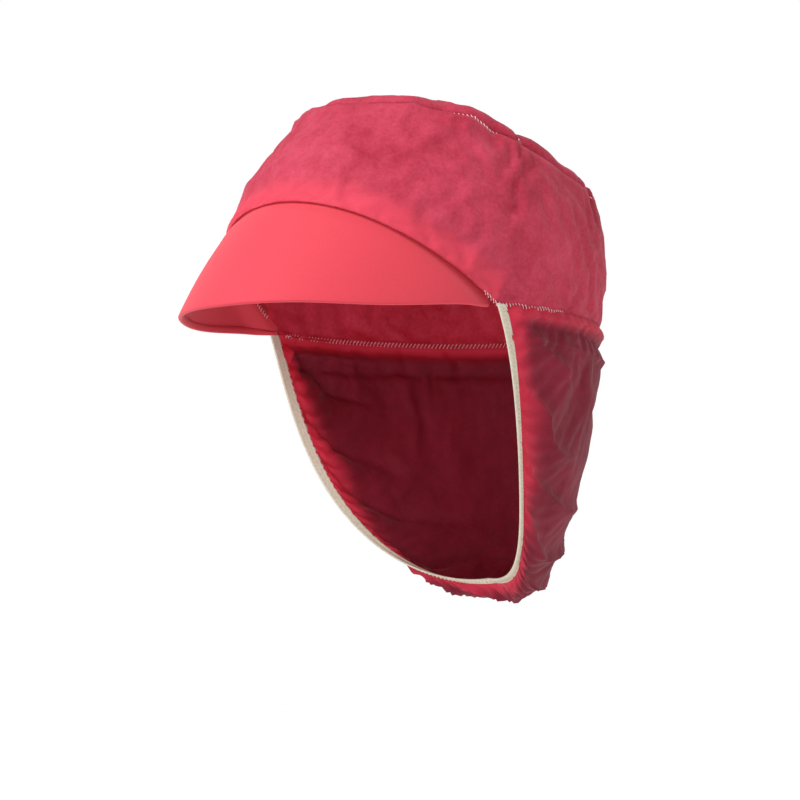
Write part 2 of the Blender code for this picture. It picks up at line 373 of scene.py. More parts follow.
def thicken(obj, thickness):
    """Gives a sheet its thickness, inwards from its outer face."""
    solid = obj.modifiers.new("cloth", "SOLIDIFY")
    solid.thickness = thickness
    solid.offset = -1
    bpy.context.view_layer.update()
    graph = bpy.context.evaluated_depsgraph_get()
    obj.data = bpy.data.meshes.new_from_object(obj.evaluated_get(graph))
    obj.modifiers.clear()
    obj.data.shade_smooth()
    return obj


def weigh(obj, name, weights):
    group = obj.vertex_groups.new(name=name)
    for i, weight in enumerate(weights):
        if weight > 0:
            group.add([i], float(weight), "REPLACE")
    return group.name


def settle(obj, held, growth, frames, cap, gravity=0.0, pressure=0.0, bending=0.1):
    """Lets obj settle as cloth that is larger than the shape by the share growth. Points with held at 1 don't
    move, and no point moves further than about cap."""
    before = points_of(obj)
    cloth = obj.modifiers.new("settle", "CLOTH")
    settings = cloth.settings
    settings.quality = 6
    settings.mass = 0.05
    settings.tension_stiffness = settings.compression_stiffness = 25
    settings.shear_stiffness = 12
    settings.bending_stiffness = bending
    settings.tension_damping = settings.compression_damping = 8
    settings.air_damping = 2
    settings.vertex_group_mass = weigh(obj, "held", held)
    settings.pin_stiffness = 1.0
    settings.shrink_min = -growth
    settings.effector_weights.gravity = gravity
    settings.use_pressure = pressure != 0
    settings.uniform_pressure_force = pressure
    cloth.collision_settings.use_collision = False
    cloth.point_cache.frame_start = 1
    cloth.point_cache.frame_end = frames
    scene = bpy.context.scene
    for step in range(1, frames + 1):
        scene.frame_set(step)
    graph = bpy.context.evaluated_depsgraph_get()
    after = points_of(obj.evaluated_get(graph))
    obj.modifiers.clear()
    obj.vertex_groups.clear()
    scene.frame_set(1)
    moved = after - before
    length = np.linalg.norm(moved, axis=1, keepdims=True)
    set_points(obj, before + moved * cap * np.tanh(length / cap) / np.maximum(length, 1e-9))


# Cloth


def disc_cells(rings):
    """Angles and radius shares of a square grid of points pressed into a disc, row by row. Each ring of the
    grid becomes a circle, and turn counts its eighths."""
    angles, shares = [], []
    for j in range(-rings, rings + 1):
        for i in range(-rings, rings + 1):
            ring = max(abs(i), abs(j))
            if ring == 0:
                turn = 0.0
            elif j == -ring:
                turn = i / ring
            elif i == ring:
                turn = 2 + j / ring
            elif j == ring:
                turn = 4 - i / ring
            else:
                turn = 6 - j / ring
            angles.append(turn * math.pi / 4)
            shares.append(ring / rings)
    return np.array(angles), np.array(shares)


def top_cells():
    """The top's points, as angles, radius shares and point numbers. The outermost are the wall's last row,
    and within lists the others."""
    angles, shares = disc_cells(TOP_RINGS)
    on_corner = shares == 1
    within = np.flatnonzero(~on_corner)
    columns = np.round(angles / (2 * np.pi) * COLUMNS).astype(int) % COLUMNS
    numbers = (WALL_ROWS - 1) * COLUMNS + columns
    numbers[within] = WALL_ROWS * COLUMNS + np.arange(len(within))
    return angles, shares, numbers, within


def foot_dip(angle):
    return np.where(np.abs(angle) < TEMPLE_ANGLE, FOOT_DIP_PEAK, FOOT_DIP_SNOOD)


def peak_dip(angle):
    return PEAK_DIP + PEAK_DIP_TEMPLES * (np.abs(angle) / TEMPLE_ANGLE) ** 3


def across_folds(angle, reach, size, seed):
    """Noise drawn out into folds that cross a seam, at an angle round the head and reach metres from it."""
    ring = 0.075  # radius that turns angles into distances
    drawn_out = 0.25  # folds are four times as long across the seam as along it
    place = np.stack([ring * np.cos(angle), ring * np.sin(angle), reach * drawn_out], -1)
    return ripple(place, size, seed)


def crown_folds(points, turn, reach, from_foot):
    """How far each point of the crown stands out. The cloth is gathered into the top seam, so folds cross it
    and fade on both sides. reach is the distance from that seam."""
    gathers = across_folds(turn, reach, GATHER_SIZE, 1) + 0.5 * across_folds(turn, reach, FINE_GATHER_SIZE, 2)
    gathers *= GATHER_DEPTH * np.exp(-reach / GATHER_FADE) * patches(points, 3)
    upright = points * np.array([1, 1, 0.6])  # draws the creases out upwards
    creases = CREASE_DEPTH * ripple(upright, CREASE_SIZE, 4)
    creases = creases + FINE_CREASE_DEPTH * ripple(points, FINE_CREASE_SIZE, 5)
    free = smooth(from_foot / CROWN_FREE_ABOVE)
    pulled = TOP_SEAM_PULL * np.exp(-((reach / TOP_SEAM_PULL_REACH) ** 2))
    return (gathers + creases) * free - pulled


def make_crown():
    """The wall and the top settle as one cloth, sewn at the top seam, and are then parted."""
    angles = np.arange(COLUMNS) * 2 * np.pi / COLUMNS
    signed = (angles + np.pi) % (2 * np.pi) - np.pi
    lower = peak_seam_share(signed)
    shares = lower + (1 - lower) * LEVELS[:, None]
    round_wall = np.broadcast_to(signed, shares.shape)
    wall = wall_point(round_wall, shares)
    height = np.linalg.norm(wall - wall[0], axis=-1)
    fall = np.linalg.norm(wall - wall[-1], axis=-1)
    curl = foot_dip(signed) * np.exp(-((height / FOOT_DIP_REACH) ** 2))
    wall = wall - outward(round_wall) * curl[..., None]

    disc_angles, disc_shares, numbers, within = top_cells()
    inner = top_point(disc_angles, disc_shares)[within]
    points = np.concatenate([wall.reshape(-1, 3), inner])
    faces = grid_faces(WALL_ROWS, COLUMNS, closed=True)
    side = 2 * TOP_RINGS + 1
    for face in grid_faces(side, side):
        faces.append(tuple(numbers[list(face)]))

    around = (RIM_HALF_WIDTH + RIM_BACK_REACH) / 2
    wall_uv = np.stack([round_wall * around, wall[..., 2]], -1).reshape(-1, 2)
    uvs = np.concatenate([wall_uv, inner[:, :2]])
    inner_reach = (1 - disc_shares[within]) * TOP_HALF_WIDTH
    to_seam = np.abs(fall - fall[SEAM_ROW]).ravel()
    reach = np.concatenate([to_seam, inner_reach + SEAM_BELOW])
    from_foot = np.concatenate([height.ravel(), 0.05 + inner_reach])
    turn = np.concatenate([round_wall.ravel(), disc_angles[within]])
    count = WALL_ROWS * COLUMNS
    on_wall = np.arange(len(points)) < count
    middle = np.array([0, TOP_SETBACK, 0.03])
    points = points + unit(points - middle) * crown_folds(points, turn, reach, from_foot)[:, None]

    # Sewn fast at the foot, and held a little everywhere and along the top seam
    crown = mesh_object("crown", points, faces, uvs)
    held = np.where(from_foot < 1e-6, 1.0, 0.12 + 0.20 * np.exp(-((from_foot / 0.006) ** 2)))
    held = np.maximum(held, 0.30 * np.exp(-((reach / 0.0025) ** 2)))
    settle(crown, held, growth=0.035, frames=20, cap=0.006, pressure=3.0)

    settled = points_of(crown)
    bpy.data.objects.remove(crown)
    by_band = np.exp(-((from_foot / BAND_HEIGHT) ** 4)) * (np.abs(turn) < TEMPLE_ANGLE)
    layers = np.where(on_wall, by_band, 0)
    wall_faces = SEAM_ROW * COLUMNS
    wall_piece = part_of("crown_wall_cloth", settled, faces[:wall_faces], uvs, layers)
    top_piece = part_of("crown_top_cloth", settled, faces[wall_faces:], uvs, layers)
    return wall_piece, top_piece, settled[:count].reshape(WALL_ROWS, COLUMNS, 3), signed


def part_of(name, points, faces, uvs, layers):
    """An object of only the given faces and the points that they use."""
    used = np.unique(np.array(faces).ravel())
    new_index = {int(old): new for new, old in enumerate(used)}
    made = mesh_object(name, points[used], [[new_index[i] for i in f] for f in faces], uvs[used])
    note_layers(made, layers[used])
    return made


def note_layers(obj, layers):
    """Keeps, at each point, how much of the cloth there lies doubled, from 0 to 1. On the snood the value
    also paints strips brighter, partly as painted light.
    """
    noted = obj.data.attributes.new("layers", "FLOAT", "POINT")
    noted.data.foreach_set("value", np.asarray(layers, np.float32).ravel())


def snood_folds(points, from_hem, from_seam, along, wander):
    """How far each point of the snood stands out. along is the distance of its column from the nearer temple,
    and wander the noise that bends the folds."""
    phase = (along - HEM_GATHER_SLANT * from_hem) / HEM_GATHER_PITCH * 2 * np.pi
    gathers = np.sin(phase + 2.0 * ripple(points, 0.02, 7))
    start = smooth((from_hem - HEM_GATHER_START) / HEM_GATHER_RISE)
    gathers *= HEM_GATHER_DEPTH * np.exp(-from_hem / HEM_GATHER_FADE) * start

    wave = np.abs(np.sin((along - SWAG_SLANT * from_hem) / SWAG_PITCH * np.pi + 1.3 * wander))
    swags = (1 - wave) ** 2 * SWAG_DEPTH * np.exp(-(((from_hem - SWAG_MIDDLE) / SWAG_SPREAD) ** 2))
    swags = swags * patches(points, 8)
    swags *= smooth(along / TEMPLE_CALM)

    # A roll below the seam, a groove under it and a fainter second roll
    tucks = ROLL_DEPTH * np.exp(-(((from_seam - ROLL_PLACE) / TUCK_SPREAD) ** 2))
    tucks = tucks - GROOVE_DEPTH * np.exp(-(((from_seam - GROOVE_PLACE) / TUCK_SPREAD) ** 2))
    past_second = from_seam - SECOND_ROLL_PLACE - SECOND_ROLL_WANDER * wander
    tucks += SECOND_ROLL_DEPTH * np.exp(-((past_second / SECOND_ROLL_SPREAD) ** 2))
    tucks *= 0.8 + 0.4 * ripple(points, 0.035, 9)
    tucks = tucks * smooth(from_seam / 0.003) * smooth(from_seam[0] / TEMPLE_CALM)

    slack = SLACK_DEPTH * ripple(points, SLACK_SIZE, 10)
    slack = slack + FINE_SLACK_DEPTH * ripple(points, FINE_SLACK_SIZE, 12)
    free = smooth(np.minimum(from_hem, from_seam) / SNOOD_FREE_REACH)
    pulled = SNOOD_SEAM_PULL * np.exp(-((from_seam / SNOOD_SEAM_PULL_REACH) ** 2))
    return free * (swags + slack) + gathers + tucks - pulled


def make_snood():
    """One sheet from the hem under the elastic to the seam with the crown, with finer rows near both."""
    u = np.linspace(SNOOD_END, -SNOOD_END, SNOOD_COLUMNS)
    by_hem = np.linspace(1, 0.9, 10)[:-1]
    by_seam = np.linspace(0.12, 0, 11)[1:]
    between = np.linspace(0.9, 0.12, SNOOD_ROWS - len(by_hem) - len(by_seam))
    shares = np.concatenate([by_hem, between, by_seam])
    grid_u, grid_s = np.meshgrid(u, shares)
    points = snood_point(grid_u, grid_s)
    t = 1 - np.abs(grid_u)
    normal = unit(np.cross(np.gradient(points, axis=1), np.gradient(points, axis=0)))
    from_hem = np.linalg.norm(points - points[0], axis=-1)
    from_seam = np.linalg.norm(points - points[-1], axis=-1)
    hem = elastic_front(t[0])
    step = np.linalg.norm(np.diff(hem, axis=0, prepend=hem[:1]), axis=1)
    from_left = np.cumsum(step)
    along = np.minimum(from_left, from_left[-1] - from_left)

    wander = ripple(points, 0.040, 6)
    points = points + normal * snood_folds(points, from_hem, from_seam, along, wander)[..., None]

    uv = np.stack([np.broadcast_to(from_left, grid_u.shape), from_seam], -1).reshape(-1, 2)
    made = mesh_object("snood_cloth", points.reshape(-1, 3), grid_faces(len(shares), SNOOD_COLUMNS), uv)
    # The strips by the elastic and by the seam are painted brighter: partly doubled gathered cloth, partly
    # painted light where the key falls on the gathers.
    lit_gathered_strip = 0.010 + 0.006 * np.exp(-(((along - 0.075) / 0.03) ** 2)) + 0.002 * wander
    by_elastic = np.exp(-((from_hem / lit_gathered_strip) ** 4))
    by_crown = 0.9 * np.exp(-((from_seam / 0.007) ** 4))
    note_layers(made, np.clip(by_elastic + by_crown, 0, 1))
    # Sewn fast at its edges, and held by the gathered elastic and the seam
    edge = (grid_s < 1e-6) | (grid_s > 1 - 1e-6) | (np.abs(grid_u) > SNOOD_END - 1e-4)
    held = 0.06 + 0.30 * np.exp(-((from_seam / 0.022) ** 4)) + 0.7 * np.exp(-((from_hem / 0.003) ** 2))
    held = np.where(edge, 1.0, held).ravel()
    settle(made, held, growth=0.035, frames=18, cap=0.008, gravity=0.1, pressure=0.4)
    return made


def peak_surface(first, last, depth, end, columns=161):
    """Rows of points on the peak, with their angles, shares of the way to its edge and inward directions.

    They run from the distance first below the seam to last inside the edge, as far as the angle end on both
    sides, and lie depth under the outer face.
    """
    angles = np.linspace(-end, end, columns)
    seam, edge = seam_point(angles), peak_edge_point(angles)
    width = np.linalg.norm(edge - seam, axis=1)
    level = np.concatenate([[0, 0.008, 0.018, 0.032, 0.050, 0.075], np.linspace(0.10, 1, 22)])[:, None]
    most = 0.45  # of the width, where the peak is narrow
    low = np.minimum(first / width, most)
    high = 1 - np.minimum(last / width, most)
    share = low + (high - low) * level
    arch = PEAK_ARCH * 4 * share * (1 - share) * width / width.max()
    points = seam + (edge - seam) * share[..., None] + outward(angles) * arch[..., None]
    from_seam = share * width
    turn = np.abs(angles) / TEMPLE_ANGLE
    reach = PEAK_DIP_REACH + PEAK_DIP_REACH_TEMPLES * turn**3
    dip = peak_dip(angles) * np.exp(-((from_seam / reach) ** 2))
    tucked = PEAK_TUCK * np.exp(-((from_seam / PEAK_TUCK_REACH) ** 2))
    points = points - outward(angles) * dip[..., None] + tucked[..., None] * np.array([0, 0, 1])
    inward = unit(np.cross(np.gradient(points, axis=1), np.gradient(points, axis=0)))
    return points + inward * depth, angles, share, inward


def make_peak():
    """The upper cloth, the board and the under cloth."""
    end = TEMPLE_ANGLE * PEAK_ENDS
    cover_points, angles, share, inward = peak_surface(0.0, 0.0, 0.0, end)
    swell = PEAK_SWELL * ripple(cover_points, PEAK_SWELL_SIZE, 11) * smooth(share * 4)
    cover_points = cover_points - inward * swell[..., None]

    # The cover turns under round the edge of the board
    edge, along = cover_points[-1], unit(cover_points[-1] - cover_points[-2])
    under = inward[-1]
    radius = (PEAK_CLOTH * 2 + PEAK_BOARD) / 2 + PEAK_SLACK
    rows = [cover_points]
    for bend in np.linspace(0, np.pi, 8)[1:]:
        turned = edge + along * radius * math.sin(bend) + under * radius * (1 - math.cos(bend))
        rows.append(turned[None])
    width = np.linalg.norm(cover_points[0] - edge, axis=1, keepdims=True)
    for back in (PEAK_HEM_FOLD, PEAK_HEM):
        rows.append((edge - along * np.minimum(back, 0.3 * width) + under * 2 * radius)[None])
    points = np.concatenate(rows)
    v = np.concatenate([share[:, 0], 1 + np.arange(1, len(points) - len(share) + 1) * 0.01])
    uv = np.stack(np.meshgrid(angles * FLAT_RADIUS, v * FLAT_PEAK_WIDTH), -1).reshape(-1, 2)
    cover_faces = [f[::-1] for f in grid_faces(len(points), len(angles))]
    cover = mesh_object("peak_upper_cloth", points.reshape(-1, 3), cover_faces, uv)
    note_layers(cover, np.ones(len(uv)))
    thicken(cover, PEAK_CLOTH)

    pieces = [cover]
    board_depth = PEAK_CLOTH + BOARD_GAP
    lining_depth = PEAK_CLOTH + PEAK_BOARD + PEAK_SLACK
    for name, first, last, depth, thickness, span in (
        ("peak_stiffener", BOARD_BELOW_SEAM, BOARD_IN_EDGE, board_depth, PEAK_BOARD, end * BOARD_ENDS),
        ("peak_under_cloth", 0.0, LINING_IN_EDGE, lining_depth, PEAK_CLOTH, end),
    ):
        points, angles, share, _ = peak_surface(first, last, depth, span)
        around = np.broadcast_to(angles * FLAT_RADIUS, share.shape)
        uv = np.stack([around, share * FLAT_PEAK_WIDTH], -1).reshape(-1, 2)
        faces = [f[::-1] for f in grid_faces(len(share), len(angles))]
        piece = mesh_object(name, points.reshape(-1, 3), faces, uv)
        note_layers(piece, np.ones(len(uv)))
        pieces.append(thicken(piece, thickness))
    return pieces


def make_band(wall, signed):
    """The strip sewn behind the foot of the wall, over the forehead."""
    order = [k for k in np.argsort(signed) if abs(signed[k]) < TEMPLE_ANGLE * BAND_ENDS]
    rows = int(np.argmax(np.linalg.norm(wall[:, 0] - wall[0, 0], axis=1) > BAND_HEIGHT))
    points = wall[:rows, order] - outward(signed[order]) * BAND_INSET
    along, up = np.meshgrid(signed[order] * FLAT_RADIUS, np.linspace(0, BAND_HEIGHT, rows))
    uv = np.stack([along, up], -1).reshape(-1, 2)
    made = mesh_object("forehead_strip", points.reshape(-1, 3), grid_faces(rows, len(order)), uv)
    note_layers(made, np.ones(len(uv)))
    return thicken(made, CLOTH)


def make_elastic():
    """A flat strip with fine ribs along it."""
    columns, rows = 401, 9
    u = np.linspace(1, -1, columns)
    across = np.linspace(0, ELASTIC_WIDTH, rows)
    grid_u, grid_a = np.meshgrid(u, across)
    points = elastic_point(grid_u, grid_a[..., None])
    face = unit(np.cross(np.gradient(points, axis=1), np.gradient(points, axis=0)))
    ribs = ELASTIC_RIB * np.cos(grid_a / ELASTIC_RIB_PITCH * 2 * np.pi)
    points = points + face * (ELASTIC_LIFT + ribs)[..., None]
    uv = np.stack([grid_u * FLAT_ELASTIC_HALF, grid_a], -1).reshape(-1, 2)
    made = mesh_object("snood_elastic_strip", points.reshape(-1, 3), grid_faces(rows, columns), uv)
    return thicken(made, ELASTIC_THICKNESS)


# Stitches


def tubes(name, paths, radius, sides=6):
    """One mesh of short round threads along paths."""
    points, faces = [], []
    ring = np.arange(sides) * 2 * np.pi / sides
    for path in paths:
        path = np.asarray(path)
        along = unit(np.gradient(path, axis=0))
        helper = np.where(np.abs(along[:, 2:3]) < 0.9, np.array([[0, 0, 1.0]]), np.array([[1.0, 0, 0]]))
        aside = unit(np.cross(along, helper))
        above = np.cross(along, aside)
        start = len(points)
        for middle, x, y in zip(path, aside, above):
            for angle in ring:
                points.append(middle + radius * (x * math.cos(angle) + y * math.sin(angle)))
        for r in range(len(path) - 1):
            for s in range(sides):
                after = (s + 1) % sides
                low, high = start + r * sides, start + (r + 1) * sides
                faces.append((low + s, low + after, high + after, high + s))
        faces.append(tuple(start + s for s in reversed(range(sides))))
        faces.append(tuple(start + (len(path) - 1) * sides + s for s in range(sides)))
    return mesh_object(name, np.array(points), faces)


def resample(line, pitch, closed=False):
    """Points pitch apart along a line."""
    line = np.asarray(line)
    if closed:
        line = np.concatenate([line, line[:1]])
    far = np.concatenate([[0], np.cumsum(np.linalg.norm(np.diff(line, axis=0), axis=1))])
    at = np.arange(0, far[-1], pitch)
    return np.stack([np.interp(at, far, line[:, k]) for k in range(3)], -1)


def overlock(name, line, out, over, closed=False, length=STITCH_LENGTH, sunk=0.0):
    """Slanting stitches along a seam. For each point of line, out points away from the cloth, over runs
    across the seam, and sunk is how deep the stitch lies."""
    spots = resample(line, STITCH_PITCH, closed)
    source = np.asarray(line)
    sunk = np.broadcast_to(sunk, len(source))
    paths = []
    for i, spot in enumerate(spots):
        nearest = int(np.argmin(np.linalg.norm(source - spot, axis=1)))
        after = spots[i + 1] if i + 1 < len(spots) else 2 * spot - spots[i - 1]
        along = unit(after - spot)
        t = np.linspace(-1, 1, 6)[:, None]
        lift = THREAD_RADIUS * (1.6 - 1.9 * t**2) - sunk[nearest]
        across = unit(over[nearest]) * t * length / 2
        paths.append(spot + across + along * (t * STITCH_SLANT) + unit(out[nearest]) * lift)
    return tubes(name, paths, THREAD_RADIUS)


def top_seam_stitches(wall, signed):
    """They show only in places along the seam."""
    seam = wall[SEAM_ROW]
    over = unit(wall[SEAM_ROW - 2] - seam)
    hidden = 0.0012 * smooth((0.35 - ripple(seam, 0.02, 20)) / 0.25)
    line = seam + over * 0.0006
    return overlock("top_seam_thread", line, outward(signed), over, closed=True, sunk=hidden)


def snood_seam_stitches(samples=300):
    """They show beside the temples, and lie deep in the seam round the back."""
    angles = np.linspace(TEMPLE_ANGLE, 2 * np.pi - TEMPLE_ANGLE, samples)
    down = np.tile([0, 0, -1.0], (samples, 1))
    from_temple = np.minimum(angles - angles[0], angles[-1] - angles) * RIM_HALF_WIDTH
    hidden = 0.0008 + 0.0012 * smooth((from_temple - 0.030) / 0.02)
    return overlock("snood_seam_thread", rim_point(angles), outward(angles), down, sunk=hidden)


def peak_seam_stitches(samples=300):
    """They show only right beside the temples."""
    angles = np.linspace(-TEMPLE_ANGLE, TEMPLE_ANGLE, samples)
    down = np.tile([0, 0, -1.0], (samples, 1))
    hidden = 0.0006 + 0.0060 * smooth((0.94 - np.abs(angles) / TEMPLE_ANGLE) / 0.02)
    return overlock("peak_seam_thread", seam_point(angles), outward(angles), down, sunk=hidden)


def back_seam_stitches(wall, signed):
    """They run up the inside of the wall at the middle of the back."""
    line = wall[1:SEAM_ROW, int(np.argmin(signed))]
    inside = np.tile([0, -1.0, 0], (len(line), 1))
    aside = np.tile([1.0, 0, 0], (len(line), 1))
    return overlock("back_seam_thread", line + inside * 0.0012, inside, aside)


def elastic_stitches(samples=400):
    """They hold the elastic along its middle."""
    u = np.linspace(0.99, -0.99, samples)
    middle = elastic_point(u, np.full((samples, 1), ELASTIC_WIDTH * 0.5))
    across = elastic_point(u, np.full((samples, 1), ELASTIC_WIDTH)) - elastic_point(u, np.zeros((samples, 1)))
    face = unit(np.cross(np.gradient(middle, axis=0), across))
    return overlock("elastic_thread", middle + face * 0.0007, face, across, length=0.0030)


# Materials


def nodes_for(name):
    """A new material, its node tree, its shader and its output."""
    made = bpy.data.materials.new(name)
    made.use_nodes = True
    tree = made.node_tree
    return made, tree, tree.nodes["Principled BSDF"], tree.nodes["Material Output"]


def ramp_between(tree, source, low, high, start, end):
    """The colour low where source is under start, high where it is over end, and blended between."""
    ramp = tree.nodes.new("ShaderNodeValToRGB")
    ramp.color_ramp.elements[0].position = start
    ramp.color_ramp.elements[0].color = (*low, 1)
    ramp.color_ramp.elements[1].position = end
    ramp.color_ramp.elements[1].color = (*high, 1)
    tree.links.new(source, ramp.inputs["Fac"])
    return ramp.outputs["Color"]


def noise_node(tree, scale, detail, coordinates, roughness=0.6):
    made = tree.nodes.new("ShaderNodeTexNoise")
    made.inputs["Scale"].default_value = scale
    made.inputs["Detail"].default_value = detail
    made.inputs["Roughness"].default_value = roughness
    tree.links.new(coordinates, made.inputs["Vector"])
    return made.outputs["Fac"]


def cloth_colour(tree, place, pale, deep, doubled):
    """Mottled from deep to pale where the cloth is single, and the colour doubled where two layers meet; on
    the snood that colour is partly painted light.
    """
    layers = tree.nodes.new("ShaderNodeAttribute")
    layers.attribute_name = "layers"
    mottle = None
    # Slack patches, clumps of fibres and single fibres
    for scale, detail, roughness, weight in ((22, 2, 0.5, 0.50), (75, 8, 0.75, 0.65), (480, 4, 0.7, 0.40)):
        blend = tree.nodes.new("ShaderNodeMath")
        blend.operation = "MULTIPLY_ADD"
        blend.inputs[1].default_value = weight
        tree.links.new(noise_node(tree, scale, detail, place, roughness), blend.inputs[0])
        if mottle:
            tree.links.new(mottle, blend.inputs[2])
        else:
            blend.inputs[2].default_value = 0.0
        mottle = blend.outputs[0]
    thin = ramp_between(tree, mottle, deep, pale, 0.56, 1.0)
    speckle = noise_node(tree, 1500, 3, place, 0.7)
    thick = ramp_between(tree, speckle, tuple(0.92 * c for c in doubled), doubled, 0.35, 0.65)
    colour = tree.nodes.new("ShaderNodeMix")
    colour.data_type = "RGBA"
    tree.links.new(layers.outputs["Fac"], colour.inputs["Factor"])
    tree.links.new(thin, colour.inputs["A"])
    tree.links.new(thick, colour.inputs["B"])
    return colour.outputs["Result"]


def cloth_bump(tree, place, fine_bump, coarse_bump):
    """A grid of small bond points and loose fibres, over larger crinkles."""
    flat = tree.nodes.new("ShaderNodeUVMap")
    flat.uv_map = "cloth"
    bonds = tree.nodes.new("ShaderNodeTexVoronoi")
    bonds.inputs["Scale"].default_value = 900
    bonds.inputs["Randomness"].default_value = 0.35
    tree.links.new(flat.outputs["UV"], bonds.inputs["Vector"])
    height = tree.nodes.new("ShaderNodeMath")
    height.operation = "ADD"
    tree.links.new(bonds.outputs["Distance"], height.inputs[0])
    tree.links.new(noise_node(tree, 700, 3, place), height.inputs[1])
    fine = tree.nodes.new("ShaderNodeBump")
    fine.inputs["Strength"].default_value = fine_bump
    fine.inputs["Distance"].default_value = 0.0002
    tree.links.new(height.outputs[0], fine.inputs["Height"])

    crinkle = tree.nodes.new("ShaderNodeTexNoise")
    crinkle.noise_type = "RIDGED_MULTIFRACTAL"
    crinkle.inputs["Scale"].default_value = 130
    crinkle.inputs["Detail"].default_value = 4
    tree.links.new(place, crinkle.inputs["Vector"])
    coarse = tree.nodes.new("ShaderNodeBump")
    coarse.inputs["Strength"].default_value = coarse_bump
    coarse.inputs["Distance"].default_value = 0.0010
    tree.links.new(crinkle.outputs["Fac"], coarse.inputs["Height"])
    tree.links.new(fine.outputs["Normal"], coarse.inputs["Normal"])
    return coarse.outputs["Normal"]


def let_light_through(tree, shader, colour, through, see_through):
    """The shader with some light passed on from behind, and a share of fully clear gaps between fibres."""
    translucent = tree.nodes.new("ShaderNodeBsdfTranslucent")
    tree.links.new(colour, translucent.inputs["Color"])
    mix = tree.nodes.new("ShaderNodeMixShader")
    mix.inputs[0].default_value = through
    tree.links.new(shader.outputs[0], mix.inputs[1])
    tree.links.new(translucent.outputs[0], mix.inputs[2])
    if not see_through:
        return mix.outputs[0]
    clear = tree.nodes.new("ShaderNodeBsdfTransparent")
    clear.inputs["Color"].default_value = (1.0, 0.28, 0.33, 1)
    open_mix = tree.nodes.new("ShaderNodeMixShader")
    open_mix.inputs[0].default_value = see_through
    tree.links.new(mix.outputs[0], open_mix.inputs[1])
    tree.links.new(clear.outputs[0], open_mix.inputs[2])
    return open_mix.outputs[0]


def nonwoven(name, pale, deep, doubled, through, see_through, fine_bump, coarse_bump):
    """Thin spunbonded cloth."""
    made, tree, shader, output = nodes_for(name)
    place = tree.nodes.new("ShaderNodeTexCoord").outputs["Object"]
    colour = cloth_colour(tree, place, pale, deep, doubled)
    tree.links.new(colour, shader.inputs["Base Color"])
    tree.links.new(cloth_bump(tree, place, fine_bump, coarse_bump), shader.inputs["Normal"])
    shader.inputs["Roughness"].default_value = 0.68
    shader.inputs["Specular IOR Level"].default_value = 0.20
    shader.inputs["Sheen Weight"].default_value = 0.12
    shader.inputs["Sheen Roughness"].default_value = 0.45
    surface = let_light_through(tree, shader, colour, through, see_through)
    tree.links.new(surface, output.inputs["Surface"])
    return made


def plain(name, colour, darker, roughness, scale):
    """A matt material of two close colours, mottled and slightly rough."""
    made, tree, shader, _ = nodes_for(name)
    place = tree.nodes.new("ShaderNodeTexCoord").outputs["Object"]
    mottle = noise_node(tree, scale, 4, place)
    tree.links.new(ramp_between(tree, mottle, darker, colour, 0.35, 0.65), shader.inputs["Base Color"])
    shader.inputs["Roughness"].default_value = roughness
    shader.inputs["Specular IOR Level"].default_value = 0.2
    bump = tree.nodes.new("ShaderNodeBump")
    bump.inputs["Strength"].default_value = 0.3
    bump.inputs["Distance"].default_value = 0.0002
    tree.links.new(mottle, bump.inputs["Height"])
    tree.links.new(bump.outputs["Normal"], shader.inputs["Normal"])
    return made


def paint(piece, material):
    piece.data.materials.clear()
    piece.data.materials.append(material)


# Assembly


def follow_peak(piece):
    """Bakes the piece's placement into its mesh."""
    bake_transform(piece)


def follow_snood(piece):
    """Bakes the piece's placement into its mesh."""
    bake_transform(piece)


